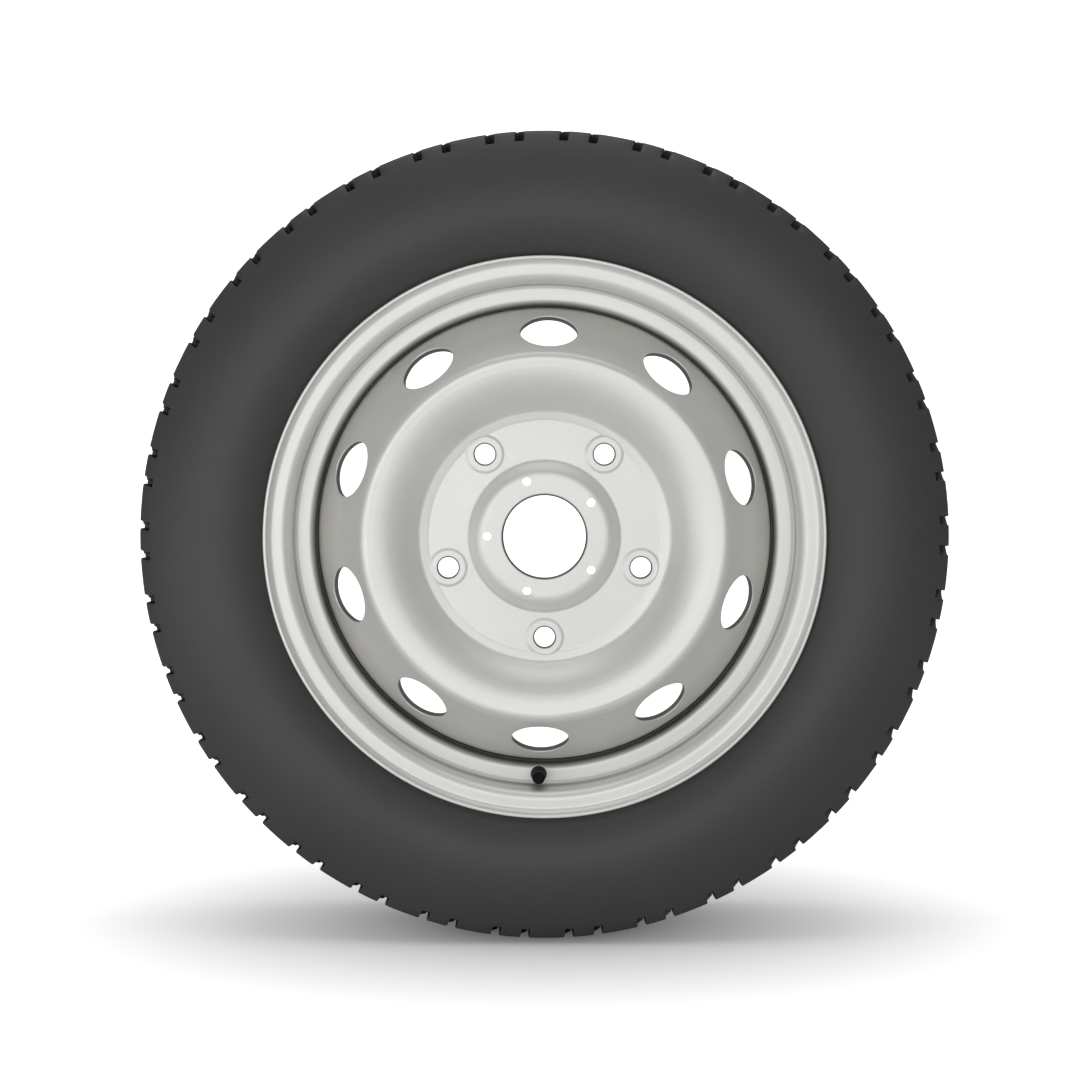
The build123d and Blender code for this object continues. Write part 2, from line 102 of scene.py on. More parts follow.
def select_edges(piece, wanted):
    """Select only the edges of a piece whose both ends are wanted, and stay in edit mode."""
    bpy.ops.object.mode_set(mode="EDIT")
    bpy.ops.mesh.select_mode(type="EDGE")
    bpy.ops.mesh.select_all(action="DESELECT")
    bpy.ops.object.mode_set(mode="OBJECT")
    for edge in piece.data.edges:
        edge.select = all(wanted(piece.data.vertices[v].co) for v in edge.vertices)
    bpy.ops.object.mode_set(mode="EDIT")


select_edges(sweep, lambda p: p.y > sweep_back - edge_slack)
bpy.ops.mesh.extrude_region_move(TRANSFORM_OT_translate={"value": (0, 0, sweep_height)})
select_edges(sweep, lambda p: p.y > sweep_back - edge_slack and p.z < floor_level + edge_slack)
bpy.ops.mesh.bevel(offset=sweep_bend, segments=bend_segments, affect="EDGES")
bpy.ops.object.mode_set(mode="OBJECT")
bpy.ops.object.shade_smooth()
print("floor at", round(floor_level, 4), "m, sweep of", len(sweep.data.polygons), "faces")

# %% [markdown]
# ## Shader helpers
# Every finish below is a Principled shader fed by a few small nodes. One helper makes a node and sets or joins
# its inputs by name, so that each material reads as a short list. Others do one sum, scale a colour, or measure how
# far a place lies from the axle. The last two start a node group and use one, for effects that several finishes share.


# %% Helpers for materials
def start_material(name):
    """A new material; returns it with its node tree and its Principled shader."""
    material = bpy.data.materials.new(name)
    material.use_nodes = True
    return material, material.node_tree, material.node_tree.nodes["Principled BSDF"]


def join(tree, socket, value):
    """Set an input to a value, or join it to another node's output."""
    if isinstance(value, bpy.types.NodeSocket):
        tree.links.new(value, socket)
    else:
        socket.default_value = value


def add_node(tree, kind, settings, inputs):
    """A node of a kind with its settings, its inputs set or joined by name or number; returns its outputs."""
    made = tree.nodes.new("ShaderNode" + kind)
    for key, value in settings.items():
        setattr(made, key, value)
    for key, value in inputs.items():
        join(tree, made.inputs[key], value)
    return made.outputs


def maths(tree, operation, *values):
    """The result of one sum on values or outputs."""
    return add_node(tree, "Math", {"operation": operation}, dict(enumerate(values)))[0]


def scaled(tree, vector, factor):
    """A vector or a colour times a factor."""
    return add_node(tree, "VectorMath", {"operation": "SCALE"}, {0: vector, "Scale": factor})[0]


def smooth_step(tree, value, low, high):
    """A smooth rise from 0 at a low value to 1 at a high one."""
    fade = {"Value": value, "From Min": low, "From Max": high}
    return add_node(tree, "MapRange", {"interpolation_type": "SMOOTHSTEP"}, fade)["Result"]


def axle_distance(tree, place):
    """How far a place lies from the axle, the Y axis."""
    flat = add_node(tree, "VectorMath", {"operation": "MULTIPLY"}, {0: place, 1: (1, 0, 1)})[0]
    return add_node(tree, "VectorMath", {"operation": "LENGTH"}, {0: flat})["Value"]


def start_group(name, inputs, outputs):
    """A shader node group with named sockets; returns it with its inputs and its outputs."""
    tree = bpy.data.node_groups.new(name, "ShaderNodeTree")
    for label, kind in inputs.items():
        tree.interface.new_socket(label, in_out="INPUT", socket_type="NodeSocket" + kind)
    for label in outputs:
        tree.interface.new_socket(label, in_out="OUTPUT", socket_type="NodeSocketFloat")
    return tree, tree.nodes.new("NodeGroupInput").outputs, tree.nodes.new("NodeGroupOutput").inputs


def use_group(tree, group, inputs):
    """A node group in a material, with its inputs set or joined; returns its outputs."""
    return add_node(tree, "Group", {"node_tree": group}, inputs)


# %% Paper material
paper_white = 0.9
glow_near, glow_far = 0.0, 1.0
glow_from, glow_to = 0.0, 0.62  # metres from the wheel's foot

paper, tree, shader = start_material("paper")
tree.nodes.remove(shader)
where = add_node(tree, "TexCoord", {}, {})["Object"]
level = add_node(tree, "VectorMath", {"operation": "MULTIPLY"}, {0: where, 1: (1, 1, 0)})[0]
away = add_node(tree, "VectorMath", {"operation": "LENGTH"}, {0: level})["Value"]
fade = {"Value": away, "From Min": glow_from, "From Max": glow_to, "To Min": glow_near, "To Max": glow_far}
strength = add_node(tree, "MapRange", {}, fade)["Result"]
seen = add_node(tree, "LightPath", {}, {})["Is Camera Ray"]
glow = add_node(tree, "Emission", {}, {"Strength": maths(tree, "MULTIPLY", strength, seen)})[0]
matt = add_node(tree, "BsdfDiffuse", {}, {"Color": (paper_white, paper_white, paper_white, 1)})[0]
both = add_node(tree, "AddShader", {}, {0: matt, 1: glow})[0]
behind = add_node(tree, "NewGeometry", {}, {})["Backfacing"]
clear = add_node(tree, "BsdfTransparent", {}, {})[0]
one_sided = add_node(tree, "MixShader", {}, {0: behind, 1: both, 2: clear})[0]
join(tree, tree.nodes["Material Output"].inputs["Surface"], one_sided)
sweep.data.materials.append(paper)
print("paper glows", glow_near, "at the wheel's foot and", glow_far, "away from it")

# %% [markdown]
# ## Light
# The silver paint needs a bright front and darker sides: what faces the lens is then nearly white and the
# slopes fall to grey. One large soft light stands behind the camera. A second one low on the left lifts the tyre's
# lower swell, and a third over the wheel makes the soft shadow on the paper. An even grey room fills in the rest.

# %% Room and lamps
room_level = 0.25
room = bpy.data.worlds.new("room")
scene.world = room
room.use_nodes = True
room.node_tree.nodes["Background"].inputs["Color"].default_value = (1, 1, 1, 1)
room.node_tree.nodes["Background"].inputs["Strength"].default_value = room_level


def soft_light(name, place, target, width, height, watts):
    """A soft light of a width and height at a place, turned to a target."""
    bpy.ops.object.light_add(type="AREA", location=place)
    lamp = bpy.context.object
    lamp.name = name
    lamp.data.shape = "RECTANGLE"
    lamp.data.size = width
    lamp.data.size_y = height
    lamp.data.energy = watts
    lamp.rotation_euler = (Vector(target) - Vector(place)).to_track_quat("-Z", "Y").to_euler()
    return lamp


front_light = soft_light("front_light", (0.0, -3.2, 0.15), (0, 0, 0), 2.6, 1.8, 27.5)
low_light = soft_light("low_light", (-0.9, -1.4, -0.2), (0, 0, -0.05), 1.4, 0.35, 4)
top_light = soft_light("top_light", (0, -0.15, 2.4), (0, 0, -0.3), 2.2, 2.2, 21)
print("lamps", [lamp.data.energy for lamp in (front_light, low_light, top_light)], "watts")

# %% [markdown]
# ## Shared surface effects
# A few effects are node groups of their own. Fine grain is what spray, moulds and cut metal all leave at close
# range. Rings are what a press, a mould turned on a lathe and a lathe itself leave round an axis. The seam shade
# is a band in radius and depth where shade is painted into the colour, such as the dark line where two sheets meet.
# The punched edge shade paints the shade of the cut walls of holes into the colour as a dark ring.

# %% Fine grain
broad_share, broad_weight, mean_tone = 0.02, 0.6, 0.8
grain_group, inside, outside = start_group(
    "fine_grain", {"Vector": "Vector", "Scale": "Float", "Contrast": "Float"}, ("Tone", "Height")
)
fine = add_node(grain_group, "TexNoise", {}, {"Vector": inside["Vector"], "Scale": inside["Scale"], "Detail": 3.0})
broad_scale = maths(grain_group, "MULTIPLY", inside["Scale"], broad_share)
broad = add_node(grain_group, "TexNoise", {}, {"Vector": inside["Vector"], "Scale": broad_scale, "Detail": 4.0})
mixed = maths(grain_group, "MULTIPLY_ADD", broad["Fac"], broad_weight, fine["Fac"])
centred = maths(grain_group, "SUBTRACT", mixed, mean_tone)
join(grain_group, outside["Tone"], maths(grain_group, "MULTIPLY_ADD", centred, inside["Contrast"], 1.0))
join(grain_group, outside["Height"], fine["Fac"])
print(grain_group.name, "gives", [socket.name for socket in outside if socket.name])

# %% Rings round an axis
ring_lean = 0.7  # how far the rings follow the depth as well as the radius
ring_group, inside, outside = start_group(
    "turned_rings", {"Vector": "Vector", "Centre": "Vector", "Density": "Float"}, ("Height", "Radius")
)
local = add_node(ring_group, "VectorMath", {"operation": "SUBTRACT"}, {0: inside["Vector"], 1: inside["Centre"]})[0]
radius = axle_distance(ring_group, local)
depth = add_node(ring_group, "SeparateXYZ", {}, {"Vector": local})["Y"]
sweep_along = maths(ring_group, "ADD", radius, maths(ring_group, "MULTIPLY", depth, ring_lean))
waves = {"W": maths(ring_group, "MULTIPLY", sweep_along, inside["Density"]), "Scale": 1.0, "Detail": 3.0}
rings = add_node(ring_group, "TexNoise", {"noise_dimensions": "1D"}, waves)["Fac"]
join(ring_group, outside["Height"], rings)
join(ring_group, outside["Radius"], radius)
print(ring_group.name, "gives", [socket.name for socket in outside if socket.name])

# %% Seam shade
seam_sizes = ("Inner", "Outer", "Front", "Back", "Edge", "Fade")
seam_group, inside, outside = start_group(
    "seam_shade", {"Vector": "Vector", **{name: "Float" for name in seam_sizes}}, ("Mask",)
)
radius = axle_distance(seam_group, inside["Vector"])
depth = add_node(seam_group, "SeparateXYZ", {}, {"Vector": inside["Vector"]})["Y"]
mask = 1.0
limits = [(radius, "Inner", 1.0, "Edge"), (radius, "Outer", -1.0, "Fade")]
limits += [(depth, "Front", 1.0, "Edge"), (depth, "Back", -1.0, "Edge")]
for value, limit, side, soft in limits:
    past = maths(seam_group, "MULTIPLY", maths(seam_group, "SUBTRACT", value, inside[limit]), side)
    mask = maths(seam_group, "MULTIPLY", mask, smooth_step(seam_group, past, 0.0, inside[soft]))
join(seam_group, outside["Mask"], mask)
print(seam_group.name, "takes", seam_sizes)

# %% Punched edge shade
hole_sizes = ("Circle", "Step", "Turn", "Hole", "Width")
hole_group, inside, outside = start_group(
    "punched_edge_shade", {"Vector": "Vector", **{name: "Float" for name in hole_sizes}}, ("Mask",)
)
axes = add_node(hole_group, "SeparateXYZ", {}, {"Vector": inside["Vector"]})
angle = maths(hole_group, "SUBTRACT", maths(hole_group, "ARCTAN2", axes["Z"], axes["X"]), inside["Turn"])
whole = maths(hole_group, "ROUND", maths(hole_group, "DIVIDE", angle, inside["Step"]))
angle = maths(hole_group, "SUBTRACT", angle, maths(hole_group, "MULTIPLY", whole, inside["Step"]))
radius = axle_distance(hole_group, inside["Vector"])
reach = maths(hole_group, "MULTIPLY", radius, maths(hole_group, "COSINE", angle))
across = maths(hole_group, "SUBTRACT", reach, inside["Circle"])
along = maths(hole_group, "MULTIPLY", radius, maths(hole_group, "SINE", angle))
offset = add_node(hole_group, "CombineXYZ", {}, {"X": across, "Y": along})["Vector"]
off = add_node(hole_group, "VectorMath", {"operation": "LENGTH"}, {0: offset})["Value"]
past = maths(hole_group, "SUBTRACT", off, inside["Hole"])
clear = smooth_step(hole_group, past, 0.0, inside["Width"])
join(hole_group, outside["Mask"], maths(hole_group, "SUBTRACT", 1.0, clear))
print("groups:", [g.name for g in (grain_group, ring_group, seam_group, hole_group)])

# %% [markdown]
# ## Wheel paint
# The wheel is sprayed silver over primer and baked: a satin, faintly grainy coat, part metal flake and part
# white pigment, so it looks nearly white square on and greyer on the slopes. First come the places where shade is
# painted into its colour: the seam between disc and rim, the concave corners, and the walls of the holes. The seam
# is painted black as shade that only the camera sees, so it still throws light onto the slope beside it.

# %% Dark places of the paint
paint, tree, shader = start_material("silver_paint")
where = add_node(tree, "TexCoord", {}, {})["Object"]
seen = add_node(tree, "LightPath", {}, {})["Is Camera Ray"]
# painted shade: the seam between disc and rim is painted black for the camera only, with a soft painted shadow fading
# out over the rim's corner
seam_place = {"Inner": 0.1802, "Outer": 0.1875, "Front": -0.0600, "Back": -0.0300, "Edge": 0.0003, "Fade": 0.0068}
# painted shade in the concave corner of the bead seat and in the crease at the foot of the hub's boss
seat_place = {"Inner": 0.1945, "Outer": 0.2010, "Front": -0.0700, "Back": -0.0540, "Edge": 0.0015, "Fade": 0.0015}
crease_place = {"Inner": 0.0588, "Outer": 0.0612, "Front": -0.0730, "Back": -0.0640, "Edge": 0.0008, "Fade": 0.0008}
# painted shade on the cut walls of the bore and the bolt holes, as dark rings
bore_place = {"Circle": 0.0, "Step": tau, "Turn": 0.0, "Hole": 0.0332, "Width": 0.0014}
bolt_place = {"Circle": 0.080, "Step": tau / 5, "Turn": -pi / 2, "Hole": 0.0087, "Width": 0.0009}
# strengths of the painted shade in those corners and on the walls of the holes
corner_shade, wall_shade = 0.3, 0.85
shades = [(seam_group, seam_place, seen), (seam_group, seat_place, corner_shade), (seam_group, crease_place, corner_shade)]
shades += [(hole_group, bore_place, wall_shade), (hole_group, bolt_place, wall_shade)]
dark = 0.0
for group, place, strength in shades:
    mask = use_group(tree, group, {"Vector": where, **place})["Mask"]
    dark = maths(tree, "MAXIMUM", dark, maths(tree, "MULTIPLY", mask, strength))
print("seam from", seam_place["Inner"], "to", seam_place["Outer"], "m;", len(shades), "dark places")

# %% [markdown]
# The vents are ovals, so a circle can't find their walls. Their walls stand across the slope that they are punched
# in, so the direction of the surface finds them, and shade is painted onto them as a dark line.

# %% Walls of the vents
slope = radians(52)
vent_shade = 0.75
wall_from, wall_to = 0.15, 0.5  # a wall ends where the surface turns this far toward the slope
vent_place = {"Inner": 0.1440, "Outer": 0.1785, "Front": -0.0850, "Back": -0.0360, "Edge": 0.0010, "Fade": 0.0010}
facing = add_node(tree, "TexCoord", {}, {})["Normal"]
outward = add_node(tree, "VectorMath", {"operation": "MULTIPLY"}, {0: where, 1: (1, 0, 1)})[0]
outward = add_node(tree, "VectorMath", {"operation": "NORMALIZE"}, {0: outward})[0]
tilted = scaled(tree, outward, sin(slope))
square_on = add_node(tree, "VectorMath", {"operation": "ADD"}, {0: tilted, 1: (0, -cos(slope), 0)})[0]
lies = add_node(tree, "VectorMath", {"operation": "DOT_PRODUCT"}, {0: facing, 1: square_on})["Value"]
across = maths(tree, "SUBTRACT", 1.0, smooth_step(tree, maths(tree, "ABSOLUTE", lies), wall_from, wall_to))
ring = use_group(tree, seam_group, {"Vector": where, **vent_place})["Mask"]
walls = maths(tree, "MULTIPLY", maths(tree, "MULTIPLY", across, ring), vent_shade)
dark = maths(tree, "MAXIMUM", dark, walls)
print("vent walls between", vent_place["Inner"], "and", vent_place["Outer"], "m")

# %% [markdown]
# The coat itself is silver with fine grain. Under it the press has left faint rings round the hub, shallow dents
# where the bolts bear, and a low step round the hub's flat.

# %% Silver coat
silver = (0.80, 0.795, 0.77)
# the colour of all the painted shade in the paint
shade_dark = (0.010, 0.010, 0.009, 1)
flake = 0.48  # the share of metal in the coat
coat_roughness, roughness_spread = 0.40, 0.10
spray_scale, spray_contrast, press_rings = 1300.0, 0.11, 420.0
grain = use_group(tree, grain_group, {"Vector": where, "Scale": spray_scale, "Contrast": spray_contrast})
rings = use_group(tree, ring_group, {"Vector": where, "Centre": (0, 0, 0), "Density": press_rings})
tinted = scaled(tree, silver, grain["Tone"])
shaded = add_node(tree, "Mix", {"data_type": "RGBA"}, {"Factor": dark, 6: tinted, 7: shade_dark})[2]
join(tree, shader.inputs["Base Color"], shaded)
join(tree, shader.inputs["Metallic"], flake)
rough = maths(tree, "MULTIPLY_ADD", grain["Height"], roughness_spread, coat_roughness)
join(tree, shader.inputs["Roughness"], rough)
print("paint", silver, "with", flake, "of flake")

# %% Relief of the coat
dent_scale, dent_fade = 55.0, (0.085, 0.115)
step_edge = (0.0915, 0.0929)
spray_relief, dent_relief, step_relief = 0.12, 2.2, 2.5  # beside the rings
relief_depth, relief_strength = 0.00012, 0.5
dents = add_node(tree, "TexNoise", {}, {"Vector": where, "Scale": dent_scale, "Detail": 2.0})["Fac"]
near_hub = maths(tree, "SUBTRACT", 1.0, smooth_step(tree, rings["Radius"], *dent_fade))
hub_step = smooth_step(tree, rings["Radius"], *step_edge)
relief = maths(tree, "MULTIPLY_ADD", grain["Height"], spray_relief, rings["Height"])
relief = maths(tree, "MULTIPLY_ADD", maths(tree, "MULTIPLY", dents, near_hub), dent_relief, relief)
relief = maths(tree, "MULTIPLY_ADD", hub_step, step_relief, relief)
bump = add_node(tree, "Bump", {}, {"Height": relief, "Strength": relief_strength, "Distance": relief_depth})[0]
join(tree, shader.inputs["Normal"], bump)
print("relief of", relief_depth, "m in the coat")

# %% [markdown]
# ## Rubbers and plastic
# Tyre rubber is black with carbon and dries to a soft grey skin. The mould was turned on a lathe, and its faint
# rings stay on the side. The valve's rubber is darker and smoother, its cap is moulded plastic with a fine
# spark-eroded texture, and both are black but painted darker still, as painted shade of the valve's hole. The
# seals are matt.


# %% Rubbers and plastic
# painted shade in the tread's cuts: their colour darkens with the cut's depth
groove_from, groove_to, groove_shade = 0.3, 2.0, 0.85  # how a cut darkens with its depth in mm
mould_spread = 0.16


def black_material(name, colour, roughness, gloss, scale, contrast, grain_depth, ring_density=None, ring_depth=0.0):
    """A dark moulded finish: grain in tone, gloss and relief, and rings of the mould where it was turned."""
    material, tree, shader = start_material(name)
    where = add_node(tree, "TexCoord", {}, {})["Object"]
    grain = use_group(tree, grain_group, {"Vector": where, "Scale": scale, "Contrast": contrast})
    # painted shade in the cuts, read from each point's cut depth
    cut = add_node(tree, "Attribute", {"attribute_name": "cut_depth"}, {})["Fac"]
    groove = maths(tree, "MULTIPLY", smooth_step(tree, cut, groove_from, groove_to), groove_shade)
    tinted = scaled(tree, colour, grain["Tone"])
    join(tree, shader.inputs["Base Color"], scaled(tree, tinted, maths(tree, "SUBTRACT", 1.0, groove)))
    rough = maths(tree, "MULTIPLY_ADD", grain["Height"], mould_spread, roughness - mould_spread / 2)
    join(tree, shader.inputs["Roughness"], rough)
    join(tree, shader.inputs["Specular IOR Level"], gloss)
    relief = maths(tree, "MULTIPLY", grain["Height"], grain_depth)
    if ring_density:
        rings = use_group(tree, ring_group, {"Vector": where, "Centre": (0, 0, 0), "Density": ring_density})
        relief = maths(tree, "MULTIPLY_ADD", rings["Height"], ring_depth, relief)
    bump = add_node(tree, "Bump", {}, {"Height": relief, "Strength": 1.0, "Distance": 0.001})[0]
    join(tree, shader.inputs["Normal"], bump)
    return material


rubber = black_material("tyre_rubber", (0.048, 0.048, 0.0475), 0.50, 0.5, 850.0, 0.40, 0.030, 300.0, 0.05)
# black rubber and plastic, painted darker than their own black as painted shade of the valve's hole
valve_black = black_material("valve_rubber", (0.004, 0.004, 0.004), 0.6, 0.12, 2400.0, 0.4, 0.01)
cap_black = black_material("cap_plastic", (0.003, 0.003, 0.0031), 0.55, 0.12, 4200.0, 0.3, 0.008)
seal_black = black_material("seal_rubber", (0.022, 0.021, 0.02), 0.68, 0.4, 3000.0, 0.5, 0.012)
print("dark finishes:", [m.name for m in (rubber, valve_black, cap_black, seal_black)])

# %% [markdown]
# ## Metals of the valve
# The stem and its core are turned from brass bar, so fine rings run round the valve's own axis. The core's
# spring is drawn wire. Both are bare metal, a little dull from handling.

# %% Metals of the valve
valve_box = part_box("valve_stem")
valve_axis = (valve_box[0] + valve_box[1]) / 2
metal_scale, metal_contrast, metal_spread = 2500.0, 0.25, 0.2
tool_marks, tool_strength = 0.00002, 0.6


def bare_metal(name, colour, roughness, density):
    """Bare turned metal: rings round the valve's axis in its relief and its gloss."""
    material, tree, shader = start_material(name)
    where = add_node(tree, "TexCoord", {}, {})["Object"]
    grain = use_group(tree, grain_group, {"Vector": where, "Scale": metal_scale, "Contrast": metal_contrast})
    rings = use_group(tree, ring_group, {"Vector": where, "Centre": valve_axis, "Density": density})
    join(tree, shader.inputs["Base Color"], scaled(tree, colour, grain["Tone"]))
    join(tree, shader.inputs["Metallic"], 1.0)
    rough = maths(tree, "MULTIPLY_ADD", rings["Height"], metal_spread, roughness - metal_spread / 2)
    join(tree, shader.inputs["Roughness"], rough)
    marks = {"Height": rings["Height"], "Strength": tool_strength, "Distance": tool_marks}
    bump = add_node(tree, "Bump", {}, marks)[0]
    join(tree, shader.inputs["Normal"], bump)
    return material


brass = bare_metal("turned_brass", (0.74, 0.55, 0.27), 0.3, 9000.0)
wire = bare_metal("spring_wire", (0.52, 0.52, 0.53), 0.32, 20000.0)
print("valve axis at", [round(v, 4) for v in valve_axis])

# %% [markdown]
# The disc and most of the valve keep their CAD meshes, which are fine enough for the picture. Their material slots
# take the finishes. The tyre, the stem, the spring, the rim and the welds get meshes of their own below.

# %% Give the CAD nodes their finishes
finishes = {
    "wheel_disc": paint,
    "valve_body": valve_black,
    "valve_cap": cap_black,
    "valve_cap_seal": seal_black,
    "valve_core_seal": seal_black,
    "valve_core_plug": brass,
    "valve_core_pin": brass,
    "valve_core_cup": brass,
}
for name, material in finishes.items():
    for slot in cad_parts[name].material_slots:
        slot.material = material
print("finished", len(finishes), "CAD nodes")

# %% [markdown]
# ## Tyre
# The tyre is the largest piece in the picture and its tread is its hardest shape: square shoulder blocks in
# pairs, four grooves round it, and fine slits in the blocks. Cutting hundreds of slits with booleans leaves a
# ragged mesh. Here the tread is one grid instead. Its rows run round the tyre and its columns run across it and
# sway as the real cross grooves do, so every groove edge lies on a grid line and keeps a clean bevel. First the
# section is drawn: arcs for the side, a small round at the shoulder, and the gentle arch of the crown.

# %% Tyre section
mm = 0.001
tyre_radius = 320.2
tyre_half = 103.0
widest_radius = 260.0
crown_radius = 1050.0
tread_half = 86.0
shoulder_round = 6.0
cushion = (225.5, -93.6)  # where the side leaves the rim


def crown_height(y):
    """Height of the tread's arch at a distance from the centre plane."""
    return tyre_radius - crown_radius + sqrt(crown_radius**2 - y**2)


def arc_points(centre, radius, start, end, steps):
    """Points along an arc toward an end, without the first point."""
    first = atan2(start[1] - centre[1], start[0] - centre[0])
    last = atan2(end[1] - centre[1], end[0] - centre[0])
    angles = [first + (last - first) * k / steps for k in range(1, steps + 1)]
    return [(centre[0] + radius * cos(a), centre[1] + radius * sin(a)) for a in angles]


def side_bow(end):
    """Centre and radius of the side's arc that stands upright at its widest point and meets an end."""
    rise, back = end[0] - widest_radius, end[1] + tyre_half
    radius = (rise**2 + back**2) / (2 * back)
    return Vector((widest_radius, radius - tyre_half)), radius


widest = (widest_radius, -tyre_half)
low_centre, low_radius = side_bow(cushion)
high_centre, high_radius = side_bow((crown_height(tread_half), -tread_half))
crown_centre = Vector((tyre_radius - crown_radius, 0.0))

# The shoulder's round touches both the crown and the side
reach = high_centre - crown_centre
from_crown, from_side = crown_radius - shoulder_round, high_radius - shoulder_round
along = (reach.length**2 + from_crown**2 - from_side**2) / (2 * reach.length)
ahead = reach.normalized()
round_centre = crown_centre + along * ahead + sqrt(from_crown**2 - along**2) * Vector((ahead.y, -ahead.x))
crown_touch = crown_centre + (round_centre - crown_centre).normalized() * crown_radius
side_touch = high_centre + (round_centre - high_centre).normalized() * high_radius
print("shoulder runs from", [round(v, 1) for v in side_touch], "to", [round(v, 1) for v in crown_touch])

# %% [markdown]
# The rows of the section fall into three stretches: the plain side with its bead, the shoulder and tread with
# all their cuts, and the lining inside. Only the front half is listed, and the back half mirrors it. The four
# grooves that run round the tyre are part of the section, each with a small bevel along its edges.

# %% Rows of the section
tread_depth = 8.0
bevel = 0.45
groove_wall = 1.1  # how far a groove's wall leans
slit_end = 0.35
outer_groove, inner_groove = (43.0, 9.0), (14.5, 10.0)  # place and width
shoulder_slit, rib_slit, centre_slit = (78.0, 52.5), (34.5, 25.5), 6.5


def on_side(radius):
    """A point of the side's upper arc at a radius."""
    return (radius, high_centre.y - sqrt(high_radius**2 - (radius - high_centre.x) ** 2))


def on_crown(*places):
    """Points of the crown in front of the centre plane."""
    return [(crown_height(y), -y) for y in places]


def groove_rows(place, width):
    """A groove's rows from its front edge to its back edge, with bevels at the top and leaning walls."""
    floor = crown_height(place) - tread_depth
    rows = []
    for side in (1, -1):
        edge = place + side * width / 2
        wall = [(crown_height(edge) - bevel, -edge), (floor, side * groove_wall - edge)]
        steps = on_crown(edge + side * bevel) + wall
        rows += steps if side > 0 else steps[::-1]
    return rows


bead = [(203.6, -64.9), (201.6, -65.3), (202.5, -76.5), (204.4, -80.8), (208.0, -82.35), (212.6, -82.4)]
bead += [(216.5, -83.55), (219.2, -86.2), (220.3, -90.3), cushion]
plain_side = bead + arc_points(low_centre, low_radius, cushion, widest, 9)
plain_side += arc_points(high_centre, high_radius, widest, on_side(298.0), 9)
tread = [on_side(r) for r in (303.0, 307.0, 309.0, 311.0)] + [tuple(side_touch)]
tread += arc_points(round_centre, shoulder_round, side_touch, crown_touch, 4)
tread += on_crown(shoulder_slit[0], shoulder_slit[0] - slit_end, 70.0, 61.0)
tread += on_crown(shoulder_slit[1] + slit_end, shoulder_slit[1]) + groove_rows(*outer_groove)
tread += on_crown(rib_slit[0], rib_slit[0] - slit_end, rib_slit[1] + slit_end, rib_slit[1])
tread += groove_rows(*inner_groove) + on_crown(centre_slit, centre_slit - slit_end)
lining = [(304.7, -30.0), (303.8, -52.0), (300.0, -72.0), (292.0, -85.0), (278.0, -92.8), (260.0, -95.4)]
lining += [(243.0, -91.5), (230.0, -82.0), (222.0, -75.0), (211.0, -68.0)]
print("rows in each half:", len(plain_side), "side,", len(tread), "tread,", len(lining), "lining")

# %% [markdown]
# One pitch of the tread holds a short and a long block, parted by two cross slots. A notch in the second rib
# and three slits as fine as a knife blade lie between them. Each column of the grid carries what it cuts in
# the shoulder, in the second rib and in the centre rib. A slot's floor falls toward the shoulder.

# %% Columns of one pitch
pitch_count = 34
pitch = tau * tyre_radius / pitch_count
slot_half, notch_half, slit_half = 3.65, 1.5, 0.3
slot_foot, notch_foot, slit_side = 0.5, 0.4, 0.25  # from an edge to the foot of its wall, and beside a slit
notch_depth, slit_depth = 6.0, 5.0
slot_lean, slot_sweep, notch_sweep = 2.8, 8.0, 6.0
slot_level, slot_fall = 315.2, tan(radians(4.0))
plain = (None, None, None)


def slot_columns(place):
    """A cross slot: both edges with their bevel, and the foot of each wall."""
    half = [(slot_half + bevel, plain), (slot_half, ("lip", None, None)), (slot_half - slot_foot, ("slot", None, None))]
    return [(place - x, cut) for x, cut in half] + [(place + x, cut) for x, cut in half[::-1]]


def slit_columns(place, rib="slit"):
    """A slit, with plain columns close beside it."""
    beside = (None, rib if rib == "notch" else None, None)
    half = [(slit_half + slit_side, beside), (slit_half, ("slit", rib, "slit"))]
    return [(place - x, cut) for x, cut in half] + [(place + x, cut) for x, cut in half[::-1]]


notch_place = 0.2 * pitch
notch_edges = [(notch_half + bevel, plain), (notch_half, (None, "lip", None))]
notch_edges += [(notch_half - notch_foot, (None, "notch", None))]
columns = slot_columns(0) + [(notch_place - x, cut) for x, cut in notch_edges]
columns += slit_columns(notch_place, "notch") + [(notch_place + x, cut) for x, cut in notch_edges[::-1]]
columns += slot_columns(0.4 * pitch) + slit_columns(0.6 * pitch) + slit_columns(0.8 * pitch)
sparse = [k for k, (place, cut) in enumerate(columns) if cut == plain][::2]
print(len(columns), "columns a pitch in the tread,", len(sparse), "on the plain side")


# %% [markdown]
# Two functions give the grid its form. One says how deep a column cuts at a row. The other says how far a column has
# moved round the tyre there: it bows in the shoulder, leans across the second rib and runs straight through the centre.

# %% Depth of the cuts and sway of the columns
sway_edge, sway_middle = 95.0, 71.0
span_slack = 0.1


def cut_radius(radius, y, cut):
    """The radius of a section point after a column's cut."""
    depth = abs(y)
    shoulder_cut, rib_cut, centre_cut = cut
    if depth > outer_groove[0] and shoulder_cut in ("slot", "lip"):
        floor = min(radius, slot_level - depth * slot_fall)
        return floor if shoulder_cut == "slot" else max(floor, radius - bevel)
    if rib_slit[1] + span_slack < depth < outer_groove[0] and rib_cut in ("notch", "lip"):
        floor = min(radius, crown_height(depth) - notch_depth)
        return floor if rib_cut == "notch" else max(floor, radius - bevel)
    spans = (shoulder_slit + (shoulder_cut,), rib_slit + (rib_cut,), (centre_slit, -centre_slit, centre_cut))
    if any(kind == "slit" and stop + span_slack < depth < start - span_slack for start, stop, kind in spans):
        return radius - slit_depth
    return radius


